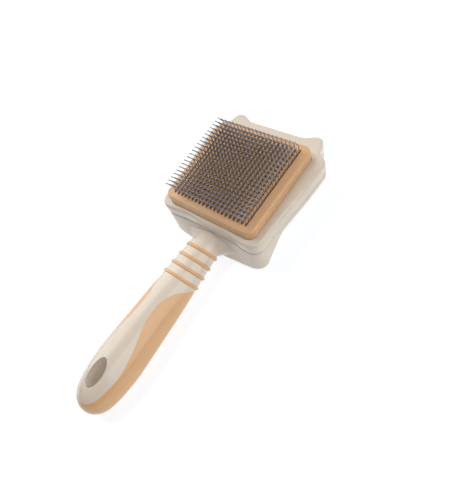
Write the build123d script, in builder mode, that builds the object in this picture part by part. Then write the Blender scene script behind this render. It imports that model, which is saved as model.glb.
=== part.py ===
"""Self-cleaning slicker brush: housing, handle, bent-wire pins and a push-out cleaning plate.

Units are millimetres. X is the width, Y runs from the handle (-Y) to the ears (+Y), +Z is the
way the pins stand. The origin is the middle of the cleaning plate's top face at rest.
"""

from build123d import *
import os

# Pin field
PIN_COLUMNS = 20
PIN_ROWS = 21
PITCH_X = 2.64
PITCH_Y = 2.46
PIN_R = 0.275
PIN_STRAIGHT = 5.05
PIN_TIP_RISE = 5.65
PIN_TIP_LEAN = 3.0
PIN_BEND_R = 0.9
PIN_HOLE_R = 0.295

# Cleaning plate
PLATE_W = 61.5
PLATE_H = 59.5
PLATE_CORNER = 5.0
PLATE_T = 2.0
PLATE_WALL = 1.8
PLATE_EDGE_R = 1.2
SKIRT_BOTTOM = -14.5
SLOT_W = 1.1
SLOT_PAST_PIN = 1.3

# Housing levels
BEZEL_TOP = -6.2
BEZEL_BOTTOM = -14.0
BEZEL_SKIN = 2.0
BEZEL_EDGE_R = 1.9
SPLIT_EDGE_R = 0.9
BACK_EDGE_R = 2.6
COVER_TOP = -14.2
COVER_BACK = -19.5
COVER_SKIN = 1.8
REST_Z = -32.7
SLIDE_GAP = 0.1
GUIDE_WALL = 1.5
CAVITY_EDGE = [
    (0, 36.8), (28, 36.8), (29.4, 34.4), (32.2, 30.8), (36.2, 26.0), (33.5, -25.5), (31.0, -29.9),
    (0, -29.9),
]

# Pin base stack
BASE_W = 52.6
BASE_H = 51.2
BASE_TOP = -3.4
BASE_BOTTOM = -6.6
BACKING_BOTTOM = -8.0

# Guide posts, springs and their screws
POST_X = 7 * PITCH_X
POST_Y = 7.5 * PITCH_Y
POST_R = 2.5
POST_SPOTS = [(-POST_X, -POST_Y), (POST_X, -POST_Y), (-POST_X, POST_Y), (POST_X, POST_Y)]
GUIDE_CLEARANCE = 0.08
SPRING_R = 3.25
SPRING_WIRE_R = 0.2
SPRING_TURNS = 5
CUP_R = 4.9
CUP_BORE_R = 3.9
CUP_BOTTOM = -17.4
CUP_SEAT = -16.4
SMALL_SCREW_R = 0.85

# Pusher and button
YOKE_TOP = -14.5
YOKE_BOTTOM = -16.1
BUTTON_Y = 4.5
STEM_W = 27.0
STEM_H = 14.0
STEM_CORNER = 5.0
STEM_WALL = 1.8
STEM_END = -26.5
STEM_END_T = 2.0
BUTTON_W = 31.5
BUTTON_H = 18.0
BUTTON_T = 4.5
BUTTON_SCREW_X = 7.0

CLIP_Y = 11.0
CLIP_W = 6.0
CLIP_TOP = -10.5
SPRING_PITCH = (BACKING_BOTTOM - CUP_SEAT - 2 * SPRING_WIRE_R - 0.04) / SPRING_TURNS

# Handle: half widths along its length, and how its section grows from the neck to the palm
SEAM_Y = -40.4
NECK_R = 9.5
NECK_TAPER = 0.072
HALF_WIDTHS = [
    (SEAM_Y, NECK_R), (-50.0, 10.2), (-60.0, 10.9), (-70.0, 11.6), (-80.0, 12.1), (-90.0, 12.5),
    (-100.0, 13.0), (-110.0, 13.5), (-119.0, 13.9), (-129.0, 13.5), (-138.5, 12.3),
    (-144.0, 10.7), (-148.0, 8.2), (-150.6, 5.0), (-151.5, 2.6),
]
HANDLE_END_Y = -151.8
WIDEST_Y = -119.0
NECK_END_Y = -60.0
PALM_START_Y = -90.0
AXIS_Z = -21.3
AXIS_DROP = 1.3
FLATNESS = 0.78
PALM_CROWN = 1.05
PALM_BELLY = 0.72
GRIP_T = 1.6
GRIP_FRONT_Y = -65.2
TONGUE_EDGE = [
    (11.2, -65.8), (10.2, -69.0), (7.6, -72.8), (6.0, -76.6), (4.9, -80.4), (4.5, -88.0),
    (5.2, -95.6), (7.0, -103.1), (8.7, -109.9), (9.9, -116.7), (10.5, -123.5), (10.3, -128.5),
    (9.6, -133.4), (8.8, -137.6), (7.3, -142.0), (5.6, -144.6), (3.5, -146.4),
]
TONGUE_END_Y = -147.3
RING_YS = [-43.2, -50.1, -56.6, -63.2]
RING_LEAN = 0.12
RING_WIRE_R = 1.1
HOLE_Y = -130.1
HOLE_LENGTH = 17.6
HOLE_WIDTH = 8.8
POD_STATIONS = [
    (-40.3, 9.4, 4.5, -22.8), (-39.5, 10.3, 4.8, -22.8), (-38.2, 11.6, 5.3, -22.9),
    (-36.2, 13.8, 6.0, -23.1), (-34.4, 16.8, 6.8, -23.3), (-32.0, 18.5, 6.8, -23.3),
]
TENON_RX = 6.8
TENON_RZ = 3.6
TENON_Z = -22.9
TENON_END_Y = -24.0
SOCKET_GAP = 0.05
SOCKET_WALL_END_Y = -21.6


def grid_spots():
    """Centres of the pins in plan, column by column."""
    x0 = -PITCH_X * (PIN_COLUMNS - 1) / 2
    y0 = -PITCH_Y * (PIN_ROWS - 1) / 2
    return [(x0 + i * PITCH_X, y0 + j * PITCH_Y) for i in range(PIN_COLUMNS) for j in range(PIN_ROWS)]


def head_outline(z, flare=0.0):
    """Plan outline of the cat-ear head at height z; flare bulges the handle side towards the neck."""
    f = flare
    with BuildSketch(Plane.XY.offset(z)) as outline:
        with BuildLine():
            Line((0, 38.8), (15, 38.8))
            Spline((15, 38.8), (21, 40.2), (26, 42), tangents=((1, 0), (1, 0)))
            Spline((26, 42), (29.4, 40.2), (31.2, 35), tangents=((1, 0), (0.3, -1)))
            Spline((31.2, 35), (33.6, 32.1), (37, 29.2), (38.4, 25), tangents=((0.3, -1), (0, -1)))
            Spline((38.4, 25), (37 - 0.3 * f, 0), (35.5 - 0.4 * f, -25 - f), tangents=((0, -1), (0, -1)))
            Spline((35.5 - 0.4 * f, -25 - f), (33.6 - 0.4 * f, -31 - 1.2 * f), (28 - f, -33.2 - 2.2 * f),
                   tangents=((0, -1), (-1, -0.15 * f)))
            Spline((28 - f, -33.2 - 2.2 * f), (16, -32.1 - 4.6 * f), (0, -32.6 - 5.2 * f),
                   tangents=((-1, -0.15 * f), (-1, 0)))
            mirror(about=Plane.YZ)
        make_face()
    return outline.sketch


def head_cavity(z):
    """Plan of the space inside the head's side walls at height z."""
    with BuildSketch(Plane.XY.offset(z)) as cavity:
        with BuildLine():
            Polyline(CAVITY_EDGE)
            mirror(about=Plane.YZ)
        make_face()
        fillet(cavity.vertices().filter_by(lambda v: abs(v.X) > 1), radius=1.2)
    return cavity.sketch


def rounded_plan(width, height, corner, z, y=0.0):
    """Rounded rectangle in plan at height z."""
    with BuildSketch(Plane.XY.offset(z)) as plan:
        with Locations((0, y)):
            RectangleRounded(width, height, corner)
    return plan.sketch


def ramp_line(lift):
    """Points of the back's S-shaped ramp from the thin part down to the deep part."""
    points = [(-9, COVER_BACK), (-15, -21.8), (-20, -25.6), (-25, -29.6), (-30.5, REST_Z)]
    return [(y, z + lift) for y, z in points]


def ellipse_at(y, rx, rz, z):
    """Ellipse across the handle axis at height z, in the plane Y = y."""
    with BuildSketch(Plane.XZ.offset(-y)) as section:
        with Locations((0, z)):
            Ellipse(rx, rz)
    return section.sketch


def disc(x, y, z, radius):
    """Circle in plan at height z."""
    with BuildSketch(Plane.XY.offset(z)) as circle:
        with Locations((x, y)):
            Circle(radius)
    return circle.sketch


def handle_section(y, half_width, place_y):
    """Egg-shaped section with the proportions of station y, drawn in the plane Y = place_y."""
    reach = min(max((NECK_END_Y - y) / (NECK_END_Y - PALM_START_Y), 0), 1)
    blend = reach * reach * (3 - 2 * reach)
    middle = (0, AXIS_Z - AXIS_DROP * blend)
    crown = half_width * (FLATNESS + (PALM_CROWN - FLATNESS) * blend)
    belly = half_width * (FLATNESS + (PALM_BELLY - FLATNESS) * blend)
    with BuildSketch(Plane.XZ.offset(-place_y)) as section:
        with BuildLine():
            EllipticalCenterArc(middle, half_width, crown, 0, arc_size=180)
            EllipticalCenterArc(middle, half_width, belly, 180, arc_size=180)
        make_face()
    return section.sketch


def handle_shape(shrink):
    """Handle lofted through its sections, drawn inwards by shrink at its widest place and end."""
    slim = 1 - shrink / max(half_width for _, half_width in HALF_WIDTHS)
    short = 1 - shrink / (WIDEST_Y - HANDLE_END_Y)
    with BuildPart() as shape:
        for y, half_width in HALF_WIDTHS:
            place_y = WIDEST_Y + (y - WIDEST_Y) * short if y < WIDEST_Y else y
            add(handle_section(y, half_width * slim, place_y))
        end_y = WIDEST_Y + (HANDLE_END_Y - WIDEST_Y) * short
        loft(sections=shape.pending_faces + [Vertex(0, end_y, AXIS_Z - AXIS_DROP)])
    return shape.part


def pan_screw(x, y, seat_z, tip_z, head_r, head_t, shank_r, up):
    """Pan-head screw along Z with a cross recess; up is +1 when the head is above its seat."""
    with BuildPart() as screw:
        add(disc(x, y, seat_z, shank_r))
        extrude(amount=abs(seat_z - tip_z), dir=(0, 0, -up))
        fillet(screw.edges().group_by(Axis.Z)[0 if up > 0 else -1], radius=shank_r * 0.5)
        add(disc(x, y, seat_z, head_r))
        extrude(amount=head_t, dir=(0, 0, up))
        top = screw.faces().sort_by(Axis.Z)[-1 if up > 0 else 0]
        fillet(top.edges(), radius=head_t * 0.4)
        with BuildSketch(Plane.XY.offset(seat_z + up * head_t)):
            with Locations((x, y)):
                Rectangle(head_r * 1.1, head_r * 0.25)
                Rectangle(head_r * 0.25, head_r * 1.1)
        extrude(amount=head_t * 0.5, dir=(0, 0, -up), mode=Mode.SUBTRACT)
    return screw.part


# Front bezel: rounded rim, plate opening and a guide wall around it
with BuildPart() as front_bezel:
    add(head_outline(BEZEL_BOTTOM))
    extrude(amount=BEZEL_TOP - BEZEL_BOTTOM)
    fillet(front_bezel.faces().sort_by(Axis.Z)[-1].edges(), radius=BEZEL_EDGE_R)
    fillet(front_bezel.faces().sort_by(Axis.Z)[0].edges(), radius=SPLIT_EDGE_R)
    add(rounded_plan(PLATE_W + 2 * SLIDE_GAP, PLATE_H + 2 * SLIDE_GAP, PLATE_CORNER, BEZEL_BOTTOM))
    extrude(amount=BEZEL_TOP - BEZEL_BOTTOM, mode=Mode.SUBTRACT)
    with BuildSketch(Plane.XY.offset(BEZEL_BOTTOM)):
        add(head_cavity(0))
        RectangleRounded(PLATE_W + 2 * GUIDE_WALL, PLATE_H + 2 * GUIDE_WALL, PLATE_CORNER + 1,
                         mode=Mode.SUBTRACT)
    extrude(amount=BEZEL_TOP - BEZEL_BOTTOM - BEZEL_SKIN, mode=Mode.SUBTRACT)

# Cavity of the deep part, with a solid block left for the handle socket
with BuildPart() as deep_pocket:
    with BuildSketch(Plane.YZ):
        with BuildLine():
            inner = [(-10.5, COVER_BACK + COVER_SKIN)] + ramp_line(2.2)[1:4] + [(-29, REST_Z + 3.2)]
            Spline(inner, tangents=((-1, -0.1), (-1, -0.4)))
            Polyline(inner[-1], (-29, COVER_BACK + COVER_SKIN), inner[0])
        make_face()
    extrude(amount=30, both=True)
    fillet(deep_pocket.edges().filter_by(Axis.Z), radius=3)
    with BuildSketch(Plane.XY.offset(COVER_TOP)):
        with Locations((0, (SOCKET_WALL_END_Y - 29.5) / 2)):
            Rectangle(17.6, SOCKET_WALL_END_Y + 29.5)
    extrude(amount=REST_Z - COVER_TOP, mode=Mode.SUBTRACT)

# Guide posts, cut off below along the ramp
with BuildPart() as post_set:
    for post_x, post_y in POST_SPOTS:
        add(disc(post_x, post_y, BACKING_BOTTOM, POST_R))
    extrude(amount=-20)
    with BuildSketch(Plane.YZ):
        with BuildLine():
            Spline(ramp_line(0.6), tangents=((-1, 0), (-1, 0)))
            Polyline((-30.5, REST_Z + 0.6), (-30.5, -45), (40, -45), (40, COVER_BACK + 0.6),
                     (-9, COVER_BACK + 0.6))
        make_face()
    extrude(amount=40, both=True, mode=Mode.SUBTRACT)

# Back cover: thin back, ramp, deep end, neck socket and guide posts
with BuildPart() as back_cover:
    with BuildSketch(Plane.YZ):
        with BuildLine():
            Spline(ramp_line(0), tangents=((-1, 0), (-1, 0)))
            Polyline((-30.5, REST_Z), (-44, REST_Z), (-44, COVER_TOP), (45, COVER_TOP),
                     (45, COVER_BACK), (-9, COVER_BACK))
        make_face()
    extrude(amount=44, both=True)
    add(head_outline(COVER_TOP))
    add(head_outline(REST_Z, 1.0))
    loft(mode=Mode.INTERSECT)
    low_edges = back_cover.edges().filter_by(lambda e: e.center().Z < COVER_BACK + 0.1)
    back_rim = low_edges.filter_by(
        lambda e: abs(e.center().X) > 20 or e.center().Y > 30 or e.center().Y < -34)
    fillet(back_rim, radius=BACK_EDGE_R)
    fillet(back_cover.faces().sort_by(Axis.Z)[-1].edges(), radius=SPLIT_EDGE_R)
    add(ellipse_at(SEAM_Y, NECK_R, NECK_R * FLATNESS, AXIS_Z))
    add(ellipse_at(-32.0, NECK_R, NECK_R * FLATNESS - 0.4, AXIS_Z - 0.4))
    loft()
    for pod_y, pod_rx, pod_rz, pod_z in POD_STATIONS:
        add(ellipse_at(pod_y, pod_rx, pod_rz, pod_z))
    loft()
    add(head_cavity(COVER_BACK + COVER_SKIN))
    extrude(amount=COVER_TOP - COVER_BACK - COVER_SKIN, mode=Mode.SUBTRACT)
    add(deep_pocket.part, mode=Mode.SUBTRACT)
    add(post_set.part)
    add(rounded_plan(STEM_W + 2 * SLIDE_GAP, STEM_H + 2 * SLIDE_GAP, STEM_CORNER, COVER_BACK, BUTTON_Y))
    extrude(amount=COVER_SKIN, mode=Mode.SUBTRACT)
    add(ellipse_at(TENON_END_Y, TENON_RX + SOCKET_GAP, TENON_RZ + SOCKET_GAP, TENON_Z))
    extrude(amount=20, dir=(0, -1, 0), mode=Mode.SUBTRACT)
    for post_x, post_y in POST_SPOTS:
        add(disc(post_x, post_y, BACKING_BOTTOM, SMALL_SCREW_R + 0.02))
    extrude(amount=-7, mode=Mode.SUBTRACT)
    for side in (-1, 1):
        add(disc(side * 4, -27, COVER_BACK + COVER_SKIN, 1.25))
    extrude(amount=-3, mode=Mode.SUBTRACT)

# Handle zone covered by the soft overmould
with BuildPart() as grip_zone:
    with BuildSketch(Plane.XY.offset(AXIS_Z - 20)):
        with Locations((0, GRIP_FRONT_Y - 50)):
            Rectangle(60, 100)
    extrude(amount=40)
    with BuildSketch(Plane.XY.offset(AXIS_Z)):
        with BuildLine():
            edge = TONGUE_EDGE + [(0, TONGUE_END_Y)] + [(-x, y) for x, y in reversed(TONGUE_EDGE)]
            Spline(edge)
            Polyline(edge[-1], (-12, GRIP_FRONT_Y), (12, GRIP_FRONT_Y), edge[0])
        make_face()
    extrude(amount=30, mode=Mode.SUBTRACT)
    add(handle_shape(GRIP_T), mode=Mode.SUBTRACT)

# Oval hanging hole
with BuildPart() as hanging_hole:
    with BuildSketch(Plane.XY.offset(AXIS_Z - 20)):
        with Locations((0, HOLE_Y)):
            Ellipse(HOLE_WIDTH / 2, HOLE_LENGTH / 2)
    extrude(amount=40)

# Soft overmould round the sides, end and underside of the handle
with BuildPart() as grip_overmold:
    add(handle_shape(0))
    add(grip_zone.part, mode=Mode.INTERSECT)
    add(hanging_hole.part, mode=Mode.SUBTRACT)

# Rings round the neck
ring_parts = []
for ring_y in RING_YS:
    radius = NECK_R + (SEAM_Y - ring_y) * NECK_TAPER - 0.1
    ring_plane = Plane(origin=(0, ring_y, AXIS_Z / FLATNESS), x_dir=(1, 0, 0), z_dir=(0, -RING_LEAN, 1))
    with BuildPart() as neck_ring:
        with BuildSketch(ring_plane):
            with Locations((radius, 0)):
                Circle(RING_WIRE_R)
        revolve(axis=Axis(ring_plane.origin, ring_plane.y_dir))
        scale(by=(1, 1, FLATNESS))
    ring_parts.append(neck_ring.part)

# Handle core with ring grooves, hanging hole and the tenon that enters the head
with BuildPart() as handle_core:
    add(handle_shape(0))
    add(grip_zone.part, mode=Mode.SUBTRACT)
    for ring in ring_parts:
        add(ring, mode=Mode.SUBTRACT)
    add(hanging_hole.part, mode=Mode.SUBTRACT)
    add(ellipse_at(TENON_END_Y - 0.2, TENON_RX, TENON_RZ, TENON_Z))
    extrude(amount=22, dir=(0, -1, 0))
    for side in (-1, 1):
        add(disc(side * 4, -27, TENON_Z + 6, 1.02))
    extrude(amount=-9, mode=Mode.SUBTRACT)

# Pin base with a hole for every pin, and the backing plate that closes it from behind
with BuildPart() as pin_base:
    add(rounded_plan(BASE_W, BASE_H, 2.5, BASE_BOTTOM))
    extrude(amount=BASE_TOP - BASE_BOTTOM)
    fillet(pin_base.edges().group_by(Axis.Z)[-1], radius=0.6)
    with BuildSketch(Plane.XY.offset(BASE_BOTTOM)):
        with Locations(grid_spots()):
            Circle(PIN_HOLE_R)
        with Locations(POST_SPOTS):
            Circle(SMALL_SCREW_R + 0.1)
    extrude(amount=BASE_TOP - BASE_BOTTOM, mode=Mode.SUBTRACT)

with BuildPart() as pin_backing:
    with BuildSketch(Plane.XY.offset(BACKING_BOTTOM)):
        RectangleRounded(BASE_W, BASE_H, 2.5)
        with Locations(POST_SPOTS):
            Circle(SMALL_SCREW_R + 0.1, mode=Mode.SUBTRACT)
    extrude(amount=BASE_BOTTOM - BACKING_BOTTOM)

# One wire pin: straight shank, bend towards the handle, blunt tip
with BuildPart() as pin:
    with BuildLine() as pin_path:
        FilletPolyline((0, 0, BASE_BOTTOM), (0, 0, PIN_STRAIGHT),
                       (0, -PIN_TIP_LEAN, PIN_STRAIGHT + PIN_TIP_RISE), radius=PIN_BEND_R)
    with BuildSketch(Plane.XY.offset(BASE_BOTTOM)):
        Circle(PIN_R)
    sweep(path=pin_path.wires()[0])

with BuildPart() as bristle_pins:
    with Locations([(x, y, 0) for x, y in grid_spots()]):
        add(pin.part)

# Cleaning plate: slotted top, skirt and the recesses its clips sit in
with BuildPart() as cleaning_plate:
    add(rounded_plan(PLATE_W, PLATE_H, PLATE_CORNER, SKIRT_BOTTOM))
    extrude(amount=-SKIRT_BOTTOM)
    fillet(cleaning_plate.edges().group_by(Axis.Z)[-1], radius=PLATE_EDGE_R)
    add(rounded_plan(PLATE_W - 2 * PLATE_WALL, PLATE_H - 2 * PLATE_WALL, PLATE_CORNER - PLATE_WALL,
                     SKIRT_BOTTOM))
    extrude(amount=-SKIRT_BOTTOM - PLATE_T, mode=Mode.SUBTRACT)
    with BuildSketch():
        with GridLocations(PITCH_X, 0, PIN_COLUMNS, 1):
            Rectangle(SLOT_W, PITCH_Y * (PIN_ROWS - 1) + 2 * SLOT_PAST_PIN)
    extrude(amount=-PLATE_T - 1, mode=Mode.SUBTRACT)
    with BuildSketch(Plane.XY.offset(CLIP_TOP - 1.5)):
        with GridLocations(PLATE_W - 2 * PLATE_WALL, 2 * CLIP_Y, 2, 2):
            Rectangle(1.4, CLIP_W + 0.6)
    extrude(amount=1.7, mode=Mode.SUBTRACT)

# Pusher: frame under the skirt, spring cups, clips and the hollow stem of the button
with BuildPart() as pusher_yoke:
    with BuildSketch(Plane.XY.offset(YOKE_BOTTOM)):
        RectangleRounded(PLATE_W - 0.8, PLATE_H - 0.8, PLATE_CORNER)
        RectangleRounded(PLATE_W - 9, PLATE_H - 9, 3, mode=Mode.SUBTRACT)
        with GridLocations(0, 2 * POST_Y, 1, 2):
            Rectangle(PLATE_W - 4, 7)
        Rectangle(18, PLATE_H - 4)
        with Locations((0, BUTTON_Y)):
            RectangleRounded(STEM_W + 8, STEM_H + 7, 4)
    extrude(amount=YOKE_TOP - YOKE_BOTTOM)
    add(rounded_plan(STEM_W, STEM_H, STEM_CORNER, STEM_END, BUTTON_Y))
    extrude(amount=YOKE_BOTTOM - STEM_END)
    add(rounded_plan(STEM_W - 2 * STEM_WALL, STEM_H - 2 * STEM_WALL, STEM_CORNER - STEM_WALL,
                     STEM_END + STEM_END_T, BUTTON_Y))
    extrude(amount=YOKE_TOP - STEM_END, mode=Mode.SUBTRACT)
    for post_x, post_y in POST_SPOTS:
        add(disc(post_x, post_y, CUP_BOTTOM, CUP_R))
    extrude(amount=YOKE_TOP - CUP_BOTTOM)
    for post_x, post_y in POST_SPOTS:
        add(disc(post_x, post_y, CUP_SEAT, CUP_BORE_R))
    extrude(amount=YOKE_TOP - CUP_SEAT, mode=Mode.SUBTRACT)
    for post_x, post_y in POST_SPOTS:
        add(disc(post_x, post_y, CUP_BOTTOM, POST_R + GUIDE_CLEARANCE))
    extrude(amount=YOKE_TOP - CUP_BOTTOM, mode=Mode.SUBTRACT)
    with BuildSketch(Plane.XY.offset(YOKE_TOP)):
        with GridLocations(PLATE_W - 2 * PLATE_WALL - 1.7, 2 * CLIP_Y, 2, 2):
            Rectangle(1.4, CLIP_W)
    extrude(amount=CLIP_TOP - YOKE_TOP)
    with BuildSketch(Plane.XY.offset(CLIP_TOP - 1.2)):
        with GridLocations(PLATE_W - 2 * PLATE_WALL - 0.3, 2 * CLIP_Y, 2, 2):
            Rectangle(1.1, CLIP_W)
    extrude(amount=1.2)
    with BuildSketch(Plane.XY.offset(STEM_END)):
        with Locations((-BUTTON_SCREW_X, BUTTON_Y), (BUTTON_SCREW_X, BUTTON_Y)):
            Circle(1.3)
    extrude(amount=STEM_END_T, mode=Mode.SUBTRACT)

# Push button on the end of the stem
with BuildPart() as push_button:
    with BuildSketch(Plane.XY.offset(STEM_END - BUTTON_T)):
        with Locations((0, BUTTON_Y)):
            SlotOverall(BUTTON_W, BUTTON_H)
    extrude(amount=BUTTON_T)
    fillet(push_button.faces().sort_by(Axis.Z)[0].edges(), radius=1.5)
    fillet(push_button.faces().sort_by(Axis.Z)[-1].edges(), radius=0.5)
    with BuildSketch(Plane.XY.offset(STEM_END)):
        with Locations((-BUTTON_SCREW_X, BUTTON_Y), (BUTTON_SCREW_X, BUTTON_Y)):
            Circle(1.12)
    extrude(amount=-3, mode=Mode.SUBTRACT)

# Return spring wound round a guide post between the yoke cup and the backing plate
with BuildPart() as coil:
    with BuildLine() as coil_path:
        Helix(pitch=SPRING_PITCH, height=SPRING_TURNS * SPRING_PITCH, radius=SPRING_R,
              center=(0, 0, CUP_SEAT + SPRING_WIRE_R + 0.02))
    with BuildSketch(Plane(origin=coil_path.wires()[0] @ 0, z_dir=coil_path.wires()[0] % 0)):
        Circle(SPRING_WIRE_R)
    sweep(path=coil_path.wires()[0], is_frenet=True)

# Rest pads between the yoke frame and the floor of the back cover
with BuildPart() as rest_pads:
    with BuildSketch(Plane.XY.offset(COVER_BACK + COVER_SKIN)):
        with Locations((-10, 27), (10, 27)):
            RectangleRounded(8, 2.6, 0.8)
        with Locations((-28.3, 2), (28.3, 2)):
            RectangleRounded(2.6, 8, 0.8)
    extrude(amount=YOKE_BOTTOM - COVER_BACK - COVER_SKIN)

nodes = {
    "front_bezel": front_bezel.part,
    "back_cover": back_cover.part,
    "handle_core": handle_core.part,
    "grip_overmold": grip_overmold.part,
    "pin_base": pin_base.part,
    "pin_backing": pin_backing.part,
    "bristle_pins": bristle_pins.part,
    "cleaning_plate": cleaning_plate.part,
    "pusher_yoke": pusher_yoke.part,
    "push_button": push_button.part,
    "rest_pads": rest_pads.part,
}
for index, ring in enumerate(ring_parts):
    nodes[f"neck_ring_{index + 1}"] = ring
for index, (post_x, post_y) in enumerate(POST_SPOTS):
    nodes[f"return_spring_{index + 1}"] = Pos(post_x, post_y, 0) * coil.part
    nodes[f"pin_base_screw_{index + 1}"] = pan_screw(post_x, post_y, BASE_TOP, BASE_TOP - 10.5, 1.4, 0.9,
                                                     SMALL_SCREW_R, 1)
for index, side in enumerate((-1, 1)):
    nodes[f"button_screw_{index + 1}"] = pan_screw(side * BUTTON_SCREW_X, BUTTON_Y, STEM_END + STEM_END_T,
                                                   STEM_END - 2.6, 2.1, 1.5, 1.1, 1)
    nodes[f"tenon_screw_{index + 1}"] = pan_screw(side * 4, -27, COVER_BACK + COVER_SKIN, TENON_Z - 2.6,
                                                  1.9, 1.1, 1.0, 1)

os.makedirs("parts", exist_ok=True)
for name, solid in nodes.items():
    solid.label = name
    export_step(solid, f"parts/{name}.step")
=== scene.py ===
import math

import bpy
import numpy as np
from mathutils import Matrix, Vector


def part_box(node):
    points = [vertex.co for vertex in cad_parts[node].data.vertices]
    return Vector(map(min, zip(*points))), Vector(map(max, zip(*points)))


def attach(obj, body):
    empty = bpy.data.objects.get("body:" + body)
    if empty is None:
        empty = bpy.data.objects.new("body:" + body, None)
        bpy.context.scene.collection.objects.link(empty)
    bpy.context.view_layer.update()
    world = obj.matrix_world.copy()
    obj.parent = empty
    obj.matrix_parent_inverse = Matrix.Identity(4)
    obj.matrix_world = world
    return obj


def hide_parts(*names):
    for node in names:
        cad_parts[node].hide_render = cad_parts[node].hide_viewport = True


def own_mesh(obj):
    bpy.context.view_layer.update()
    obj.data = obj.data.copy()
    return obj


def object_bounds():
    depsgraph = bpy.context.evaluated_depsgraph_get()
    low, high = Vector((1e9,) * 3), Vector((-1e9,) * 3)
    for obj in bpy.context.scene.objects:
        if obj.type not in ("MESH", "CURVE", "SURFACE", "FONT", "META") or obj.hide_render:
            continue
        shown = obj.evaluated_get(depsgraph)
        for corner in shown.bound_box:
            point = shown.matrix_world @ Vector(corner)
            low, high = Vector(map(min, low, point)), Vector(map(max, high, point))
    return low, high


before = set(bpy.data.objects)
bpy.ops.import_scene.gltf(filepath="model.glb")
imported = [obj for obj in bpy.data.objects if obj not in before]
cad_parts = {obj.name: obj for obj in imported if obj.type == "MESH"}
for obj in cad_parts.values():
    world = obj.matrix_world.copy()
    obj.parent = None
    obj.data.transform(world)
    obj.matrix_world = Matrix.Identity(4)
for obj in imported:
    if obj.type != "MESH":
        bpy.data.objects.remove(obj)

CAD_LOW, CAD_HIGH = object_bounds()
MM = 0.001
UP = (0.0, 0.0, 1.0)

# ---------------------------------------------------------------- camera
CAMERA_AT = (0.11535, -0.08893, 0.16494)
CAMERA_TURN_DEG = (25.781, 19.571, 38.592)
LENS_MM = 28.87
SHIFT = (0.0642, 0.0656)


def add_camera():
    data = bpy.data.cameras.new("camera")
    data.lens = LENS_MM
    data.sensor_width = 36.0
    data.shift_x, data.shift_y = SHIFT
    data.clip_start, data.clip_end = 0.01, 20.0
    camera = bpy.data.objects.new("camera", data)
    camera.location = CAMERA_AT
    camera.rotation_euler = [math.radians(a) for a in CAMERA_TURN_DEG]
    bpy.context.scene.collection.objects.link(camera)
    bpy.context.scene.camera = camera


# ---------------------------------------------------------------- node helpers
def srgb(r, g, b):
    """An sRGB colour of 0 to 255 as linear RGBA."""
    def lin(v):
        v /= 255.0
        return v / 12.92 if v <= 0.04045 else ((v + 0.055) / 1.055) ** 2.4
    return (lin(r), lin(g), lin(b), 1.0)


class Tree:
    """A material's node tree with short calls for the nodes used here."""

    def __init__(self, name):
        self.material = bpy.data.materials.new(name)
        self.material.use_nodes = True
        self.tree = self.material.node_tree
        self.shader = self.tree.nodes["Principled BSDF"]
        coords = self.tree.nodes.new("ShaderNodeTexCoord")
        self.place = coords.outputs["Object"]

    def link(self, value, socket):
        if isinstance(value, bpy.types.NodeSocket):
            self.tree.links.new(value, socket)
        elif value is not None:
            socket.default_value = value

    def noise(self, scale, detail=3.0, rough=0.55, stretch=None):
        node = self.tree.nodes.new("ShaderNodeTexNoise")
        node.inputs["Scale"].default_value = scale
        node.inputs["Detail"].default_value = detail
        node.inputs["Roughness"].default_value = rough
        self.link(self.scaled(stretch) if stretch else self.place, node.inputs["Vector"])
        return node.outputs["Fac"]

    def scaled(self, factors):
        node = self.tree.nodes.new("ShaderNodeMapping")
        node.inputs["Scale"].default_value = factors
        self.link(self.place, node.inputs["Vector"])
        return node.outputs["Vector"]

    def voronoi(self, scale):
        node = self.tree.nodes.new("ShaderNodeTexVoronoi")
        node.inputs["Scale"].default_value = scale
        self.link(self.place, node.inputs["Vector"])
        return node.outputs["Distance"]

    def spread(self, value, low, high, to_low=0.0, to_high=1.0):
        node = self.tree.nodes.new("ShaderNodeMapRange")
        node.interpolation_type = "SMOOTHSTEP"
        ends = {"Value": value, "From Min": low, "From Max": high, "To Min": to_low, "To Max": to_high}
        for name, end in ends.items():
            self.link(end, node.inputs[name])
        return node.outputs["Result"]

    def math(self, kind, a, b=None):
        node = self.tree.nodes.new("ShaderNodeMath")
        node.operation = kind
        self.link(a, node.inputs[0])
        self.link(b, node.inputs[1])
        return node.outputs[0]

    def mix(self, share, a, b):
        node = self.tree.nodes.new("ShaderNodeMix")
        node.data_type = "RGBA"
        self.link(share, node.inputs[0])
        self.link(a, node.inputs[6])
        self.link(b, node.inputs[7])
        return node.outputs[2]

    def edges(self, low, high):
        node = self.tree.nodes.new("ShaderNodeNewGeometry")
        return self.spread(node.outputs["Pointiness"], low, high)

    def bump(self, height, distance, strength=1.0, under=None):
        node = self.tree.nodes.new("ShaderNodeBump")
        node.inputs["Distance"].default_value = distance
        node.inputs["Strength"].default_value = strength
        self.link(height, node.inputs["Height"])
        self.link(under, node.inputs["Normal"])
        return node.outputs["Normal"]

    def finish(self, **inputs):
        for name, value in inputs.items():
            self.link(value, self.shader.inputs[name.replace("_", " ")])
        return self.material


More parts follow.
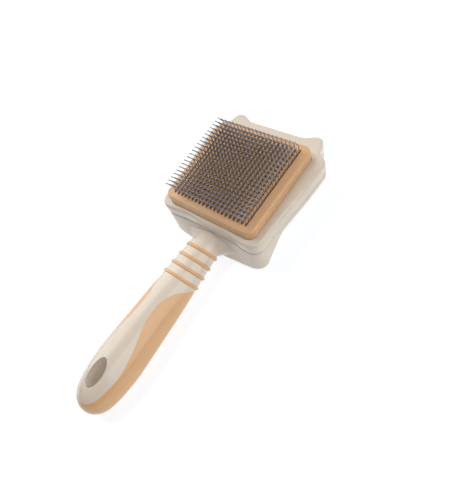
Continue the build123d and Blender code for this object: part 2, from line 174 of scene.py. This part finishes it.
def shell_cream():
    """Glossy moulded plastic with faint flow clouds, hairline scratches and a painted highlight that
    lightens convex edges in patches.
    """
    t = Tree("shell_cream")
    cloud = t.noise(34.0, 2.0)
    colour = t.mix(t.spread(cloud, 0.3, 0.7), srgb(217, 204, 189), srgb(213, 199, 183))
    fleck = t.spread(t.noise(3400.0, 1.0), 0.68, 0.78, 0.0, 0.22)
    colour = t.mix(fleck, colour, srgb(196, 182, 166))
    # Convex edges are lightened in patches: a painted edge highlight.
    painted_edge_highlight = t.math("MULTIPLY", t.edges(0.53, 0.6), t.spread(t.noise(420.0, 4.0), 0.45, 0.62))
    colour = t.mix(t.math("MULTIPLY", painted_edge_highlight, 0.4), colour, srgb(228, 218, 206))
    scuff = t.noise(1500.0, 4.0, 0.6, stretch=(1.0, 0.05, 1.0))
    rough = t.math("ADD", t.spread(scuff, 0.45, 0.75, 0.11, 0.17), t.spread(cloud, 0.3, 0.7, 0.0, 0.02))
    peel = t.bump(t.noise(900.0, 1.0), 0.00001, 0.12)
    hairline = t.bump(scuff, 0.000004, 0.12, peel)
    return t.finish(Base_Color=colour, Roughness=rough, Normal=hairline, IOR=1.48,
                    Subsurface_Weight=0.1, Subsurface_Radius=(1.0, 0.75, 0.55), Subsurface_Scale=0.0012)


def accent_plastic():
    """Orange moulded plastic with a fine spark-eroded grain and a painted highlight that lightens convex
    edges in patches.
    """
    t = Tree("accent_plastic")
    cloud = t.noise(45.0, 2.0)
    colour = t.mix(t.spread(cloud, 0.3, 0.7), srgb(213, 169, 126), srgb(209, 164, 120))
    fleck = t.spread(t.noise(3400.0, 1.0), 0.66, 0.76, 0.0, 0.25)
    colour = t.mix(fleck, colour, srgb(192, 147, 104))
    # Convex edges are lightened in patches: a painted edge highlight.
    painted_edge_highlight = t.math("MULTIPLY", t.edges(0.52, 0.58), t.spread(t.noise(500.0, 4.0), 0.42, 0.6))
    colour = t.mix(t.math("MULTIPLY", painted_edge_highlight, 0.35), colour, srgb(228, 190, 150))
    grain = t.noise(2600.0, 2.0, 0.6)
    rough = t.spread(grain, 0.35, 0.7, 0.24, 0.32)
    return t.finish(Base_Color=colour, Roughness=rough, IOR=1.48,
                    Normal=t.bump(grain, 0.000008, 0.2),
                    Subsurface_Weight=0.06, Subsurface_Radius=(1.0, 0.5, 0.25), Subsurface_Scale=0.001)


def grip_rubber():
    """Satin thermoplastic rubber with a fine skin and slightly polished patches."""
    t = Tree("grip_rubber")
    cloud = t.noise(30.0, 3.0)
    colour = t.mix(t.spread(cloud, 0.3, 0.7), srgb(219, 174, 129), srgb(214, 168, 122))
    speck = t.spread(t.noise(2400.0, 2.0), 0.62, 0.76, 0.0, 0.25)
    colour = t.mix(speck, colour, srgb(198, 152, 108))
    skin = t.math("ADD", t.noise(2800.0, 2.0, 0.6), t.math("MULTIPLY", t.voronoi(2200.0), 0.4))
    rough = t.spread(t.noise(260.0, 4.0), 0.35, 0.65, 0.16, 0.19)
    return t.finish(Base_Color=colour, Roughness=rough, IOR=1.45,
                    Normal=t.bump(skin, 0.000008, 0.2),
                    Subsurface_Weight=0.08, Subsurface_Radius=(1.0, 0.5, 0.25), Subsurface_Scale=0.0012)


def base_plastic():
    """Dark brown plastic of the pin base."""
    t = Tree("base_plastic")
    colour = t.mix(t.spread(t.noise(160.0, 3.0), 0.35, 0.65), srgb(124, 118, 109), srgb(110, 105, 98))
    grain = t.noise(2400.0, 3.0)
    return t.finish(Base_Color=colour, Roughness=t.spread(grain, 0.35, 0.7, 0.45, 0.6),
                    Normal=t.bump(grain, 0.00003, 0.3))


def metal(name, light, dark, rough_low, rough_high, stretch, shine=1.0):
    """Drawn or turned steel with streaks along the stretch direction."""
    t = Tree(name)
    streak = t.noise(900.0, 3.0, 0.6, stretch=stretch)
    colour = t.mix(t.spread(streak, 0.35, 0.65), light, dark)
    rough = t.spread(t.noise(1500.0, 2.0), 0.35, 0.65, rough_low, rough_high)
    return t.finish(Base_Color=colour, Metallic=shine, Roughness=rough,
                    Normal=t.bump(streak, 0.00001, 0.3))


def pad_rubber():
    """Dark foam rubber."""
    t = Tree("pad_rubber")
    grain = t.noise(1400.0, 3.0)
    colour = t.mix(t.spread(grain, 0.35, 0.65), srgb(58, 56, 54), srgb(44, 42, 41))
    return t.finish(Base_Color=colour, Roughness=t.spread(grain, 0.3, 0.7, 0.7, 0.85),
                    Normal=t.bump(grain, 0.0001, 0.4))


def make_materials():
    """One material for each material slot of the record."""
    even = (1.0, 1.0, 1.0)
    return {
        "shell_cream": shell_cream(),
        "accent_plastic": accent_plastic(),
        "grip_rubber": grip_rubber(),
        "base_plastic": base_plastic(),
        "pin_steel": metal("pin_steel", srgb(166, 168, 176), srgb(146, 148, 156), 0.3, 0.42,
                           (1.0, 1.0, 0.1), PIN_METALLIC),
        "spring_steel": metal("spring_steel", srgb(188, 186, 182), srgb(150, 148, 144), 0.25, 0.4, even),
        "screw_steel": metal("screw_steel", srgb(150, 148, 150), srgb(112, 110, 112), 0.3, 0.45, even),
        "pad_rubber": pad_rubber(),
    }


def finish_nodes(materials):
    """Gives every CAD node the material of its slot."""
    for name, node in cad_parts.items():
        node.data.materials.clear()
        node.data.materials.append(materials[NODE_SLOTS[name]])


NODE_SLOTS = {
    "front_bezel": "shell_cream", "back_cover": "shell_cream", "handle_core": "shell_cream",
    "pusher_yoke": "shell_cream", "cleaning_plate": "accent_plastic", "push_button": "accent_plastic",
    "grip_overmold": "grip_rubber", "pin_base": "base_plastic", "pin_backing": "base_plastic",
    "bristle_pins": "pin_steel", "rest_pads": "pad_rubber",
}
NODE_SLOTS.update({f"neck_ring_{i}": "grip_rubber" for i in range(1, 5)})
NODE_SLOTS.update({f"return_spring_{i}": "spring_steel" for i in range(1, 5)})
NODE_SLOTS.update({f"pin_base_screw_{i}": "screw_steel" for i in range(1, 5)})
NODE_SLOTS.update({f"button_screw_{i}": "screw_steel" for i in range(1, 3)})
NODE_SLOTS.update({f"tenon_screw_{i}": "screw_steel" for i in range(1, 3)})


# ---------------------------------------------------------------- wire pieces
PIN_COLUMNS = 20
PIN_ROWS = 21
PIN_R = 0.275 * MM
PIN_STRAIGHT = 5.05 * MM
PIN_RISE = 5.65 * MM
PIN_LEAN = 3.0 * MM
PIN_BEND_R = 0.9 * MM
PIN_METALLIC = 0.45
PIN_SIDES = 12
PIN_BEND_STEPS = 5
TIP_STEPS = ((0.0, 1.0), (0.12, 0.93), (0.2, 0.72), (0.24, 0.4))
HEIGHT_ERROR = 0.05 * MM
LEAN_ERROR = 0.1 * MM
SIDE_ERROR = 0.012
PIN_SEED = 7
SPRING_WIRE_R = 0.2 * MM
SPRING_TURNS = 5.0
SPRING_CLOSED = 1.0
SPRING_STEPS = 28
SPRING_SIDES = 10


def tube(points, radii, sides, side_axis=None):
    """Vertices and faces of a closed tube that follows the points with the given radii."""
    points = np.asarray(points, float)
    ahead = np.gradient(points, axis=0)
    ahead /= np.linalg.norm(ahead, axis=1)[:, None]
    side = np.cross(ahead, UP) if side_axis is None else np.tile(side_axis, (len(points), 1))
    side = side / np.linalg.norm(side, axis=1)[:, None]
    over = np.cross(side, ahead)
    turn = np.arange(sides) * 2 * math.pi / sides
    spokes = np.cos(turn)[None, :, None] * side[:, None] + np.sin(turn)[None, :, None] * over[:, None]
    vertices = (points[:, None] + spokes * np.asarray(radii)[:, None, None]).reshape(-1, 3)
    faces = []
    for ring in range(len(points) - 1):
        for k in range(sides):
            a, b = ring * sides + k, ring * sides + (k + 1) % sides
            faces.append((a, b, b + sides, a + sides))
    faces.append(tuple(range(sides - 1, -1, -1)))
    last = (len(points) - 1) * sides
    faces.append(tuple(range(last, last + sides)))
    return vertices, faces


def add_mesh(name, vertices, faces, material):
    mesh = bpy.data.meshes.new(name)
    mesh.from_pydata([tuple(v) for v in vertices], [], faces)
    mesh.shade_smooth()
    mesh.materials.append(material)
    piece = bpy.data.objects.new(name, mesh)
    bpy.context.scene.collection.objects.link(piece)
    return piece


def pin_line(foot, straight, lean, drift):
    """Centre line of one pin: shank, bend arc and leaning tip, with its radius at each point."""
    tilt = math.atan2(lean, PIN_RISE)
    start = PIN_BEND_R * math.tan(tilt / 2)
    points = [(0.0, 0.0, foot), (0.0, 0.0, foot * 0.5), (0.0, 0.0, straight - start)]
    for step in range(1, PIN_BEND_STEPS + 1):
        angle = tilt * step / PIN_BEND_STEPS
        back = -PIN_BEND_R * (1 - math.cos(angle))
        points.append((0.0, back, straight - start + PIN_BEND_R * math.sin(angle)))
    length = math.hypot(lean, PIN_RISE) - start
    bend_end = np.array(points[-1])
    ahead = np.array((drift, -math.sin(tilt), math.cos(tilt)))
    radii = [PIN_R] * len(points)
    for rise, share in TIP_STEPS:
        points.append(bend_end + ahead * (length - TIP_STEPS[-1][0] * MM + rise * MM))
        radii.append(PIN_R * share)
    return np.array(points), radii


def add_pins(material):
    """All the wire pins as one mesh, each with its own small error of bend and lean."""
    low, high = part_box("bristle_pins")
    draw = np.random.default_rng(PIN_SEED)
    far_x, far_y = high.x - PIN_R, high.y - PIN_R
    vertices, faces = [], []
    for x in np.linspace(-far_x, far_x, PIN_COLUMNS):
        for y in np.linspace(-far_y, far_y, PIN_ROWS):
            straight = PIN_STRAIGHT + draw.uniform(-HEIGHT_ERROR, 0.0)
            lean = PIN_LEAN + draw.uniform(-LEAN_ERROR, 0.0)
            points, radii = pin_line(low.z, straight, lean, draw.uniform(-SIDE_ERROR, SIDE_ERROR))
            ring, skin = tube(points + np.array((x, y, 0.0)), radii, PIN_SIDES, (1.0, 0.0, 0.0))
            first = len(vertices)
            vertices.extend(ring)
            faces.extend(tuple(first + k for k in face) for face in skin)
    pins = add_mesh("wire_pins", vertices, faces, material)
    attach(pins, "housing")
    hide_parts("bristle_pins")


def add_spring(number, material):
    """Compression spring with closed ends, built in the box of its CAD node and fixed to the housing."""
    node = f"return_spring_{number}"
    low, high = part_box(node)
    middle = (low + high) / 2
    radius = (high.x - low.x) / 2 - SPRING_WIRE_R
    height = high.z - low.z
    turns = SPRING_TURNS + SPRING_CLOSED
    wind = np.linspace(0.0, 1.0, int(turns * SPRING_STEPS) + 1) * turns
    rise = np.clip((wind - SPRING_CLOSED / 2) / SPRING_TURNS, 0.0, 1.0)
    rise = 0.5 * rise + 0.5 * rise * rise * (3 - 2 * rise)
    angle = wind * 2 * math.pi
    points = np.stack([middle.x + radius * np.cos(angle), middle.y + radius * np.sin(angle),
                       low.z + SPRING_WIRE_R + (height - 2 * SPRING_WIRE_R) * rise], axis=1)
    vertices, faces = tube(points, [SPRING_WIRE_R] * len(points), SPRING_SIDES)
    spring = add_mesh(f"coil_{number}", vertices, faces, material)
    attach(spring, "housing")
    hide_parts(node)
    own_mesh(spring)


# ---------------------------------------------------------------- stage
FLOOR_HALF = 3.0
FLOOR_GAP = 0.2 * MM
FLOOR_GLOW = 0.78
LIGHT_AIM = Vector((0.0, -0.05, -0.02))
LAMP_DISTANCE = 1.0
LAMP_COLOUR = (1.0, 0.98, 0.95)
SKY_LEVEL = 0.29
SKY_TO_X = -0.03
SKY_TO_Y = 0.22
SKY_SEEN = 0.86


def add_floor():
    mesh = bpy.data.meshes.new("floor")
    z = CAD_LOW.z - FLOOR_GAP
    corners = [(-FLOOR_HALF, -FLOOR_HALF, z), (FLOOR_HALF, -FLOOR_HALF, z),
               (FLOOR_HALF, FLOOR_HALF, z), (-FLOOR_HALF, FLOOR_HALF, z)]
    mesh.from_pydata(corners, [], [(0, 1, 2, 3)])
    floor = bpy.data.objects.new("floor", mesh)
    bpy.context.scene.collection.objects.link(floor)
    t = Tree("floor_paper")
    fibre = t.noise(220.0, 4.0)
    colour = t.mix(t.spread(fibre, 0.3, 0.7), srgb(158, 158, 158), srgb(155, 155, 155))
    mesh.materials.append(t.finish(Base_Color=colour, Roughness=0.9, Specular_IOR_Level=0.0,
                                   Emission_Color=(0.94, 0.97, 1.0, 1.0), Emission_Strength=FLOOR_GLOW,
                                   Normal=t.bump(fibre, 0.0001, 0.2)))


def softbox(name, azimuth, elevation, size, radiance, glossy=True, diffuse=True):
    """Rectangular lamp LAMP_DISTANCE away, from azimuth (0 is +X, 90 is +Y) and elevation."""
    data = bpy.data.lights.new(name, "AREA")
    data.shape = "RECTANGLE"
    data.size, data.size_y = size
    data.energy = radiance * math.pi * size[0] * size[1]
    data.color = LAMP_COLOUR
    lamp = bpy.data.objects.new(name, data)
    around, up = math.radians(azimuth), math.radians(elevation)
    away = Vector((math.cos(around) * math.cos(up), math.sin(around) * math.cos(up), math.sin(up)))
    lamp.location = LIGHT_AIM + away * LAMP_DISTANCE
    lamp.rotation_euler = (-away).to_track_quat("-Z", "Y").to_euler()
    lamp.visible_camera = False
    lamp.visible_glossy = glossy
    lamp.visible_diffuse = diffuse
    bpy.context.scene.collection.objects.link(lamp)


def add_world():
    """Studio surround that lights most from the ears' side and looks pale to the camera."""
    world = bpy.data.worlds.new("studio")
    bpy.context.scene.world = world
    world.use_nodes = True
    tree = world.node_tree
    back = tree.nodes["Background"]
    place = tree.nodes.new("ShaderNodeTexCoord")
    tilt = tree.nodes.new("ShaderNodeVectorMath")
    tilt.operation = "DOT_PRODUCT"
    tilt.inputs[1].default_value = (SKY_TO_X, SKY_TO_Y, 0.0)
    level = tree.nodes.new("ShaderNodeMath")
    level.operation = "ADD"
    level.inputs[1].default_value = SKY_LEVEL
    tree.links.new(place.outputs["Generated"], tilt.inputs[0])
    tree.links.new(tilt.outputs["Value"], level.inputs[0])
    seen = tree.nodes.new("ShaderNodeMix")
    seen.data_type = "FLOAT"
    seen.inputs[3].default_value = SKY_SEEN
    rays = tree.nodes.new("ShaderNodeLightPath")
    tree.links.new(rays.outputs["Is Camera Ray"], seen.inputs[0])
    tree.links.new(level.outputs[0], seen.inputs[2])
    tree.links.new(seen.outputs[0], back.inputs["Strength"])
    back.inputs["Color"].default_value = (0.87, 0.94, 1.0, 1.0)


def add_lights():
    softbox("left_box", 178, 30, (0.9, 1.2), 2.3, diffuse=False)
    softbox("right_box", 0, 42, (0.9, 1.2), 2.0, diffuse=False)
    softbox("left_fill", 162, 36, (0.8, 0.8), 2.8, glossy=False)
    softbox("right_fill", 14, 46, (0.8, 0.8), 2.6, glossy=False)
    softbox("key", 190, 68, (0.2, 0.2), 17.0, glossy=False)
    bpy.context.scene.view_settings.view_transform = "Standard"


add_camera()
add_world()
add_lights()
add_floor()
finishes = make_materials()
finish_nodes(finishes)
add_pins(finishes["pin_steel"])
for spring_number in range(1, 5):
    add_spring(spring_number, finishes["spring_steel"])
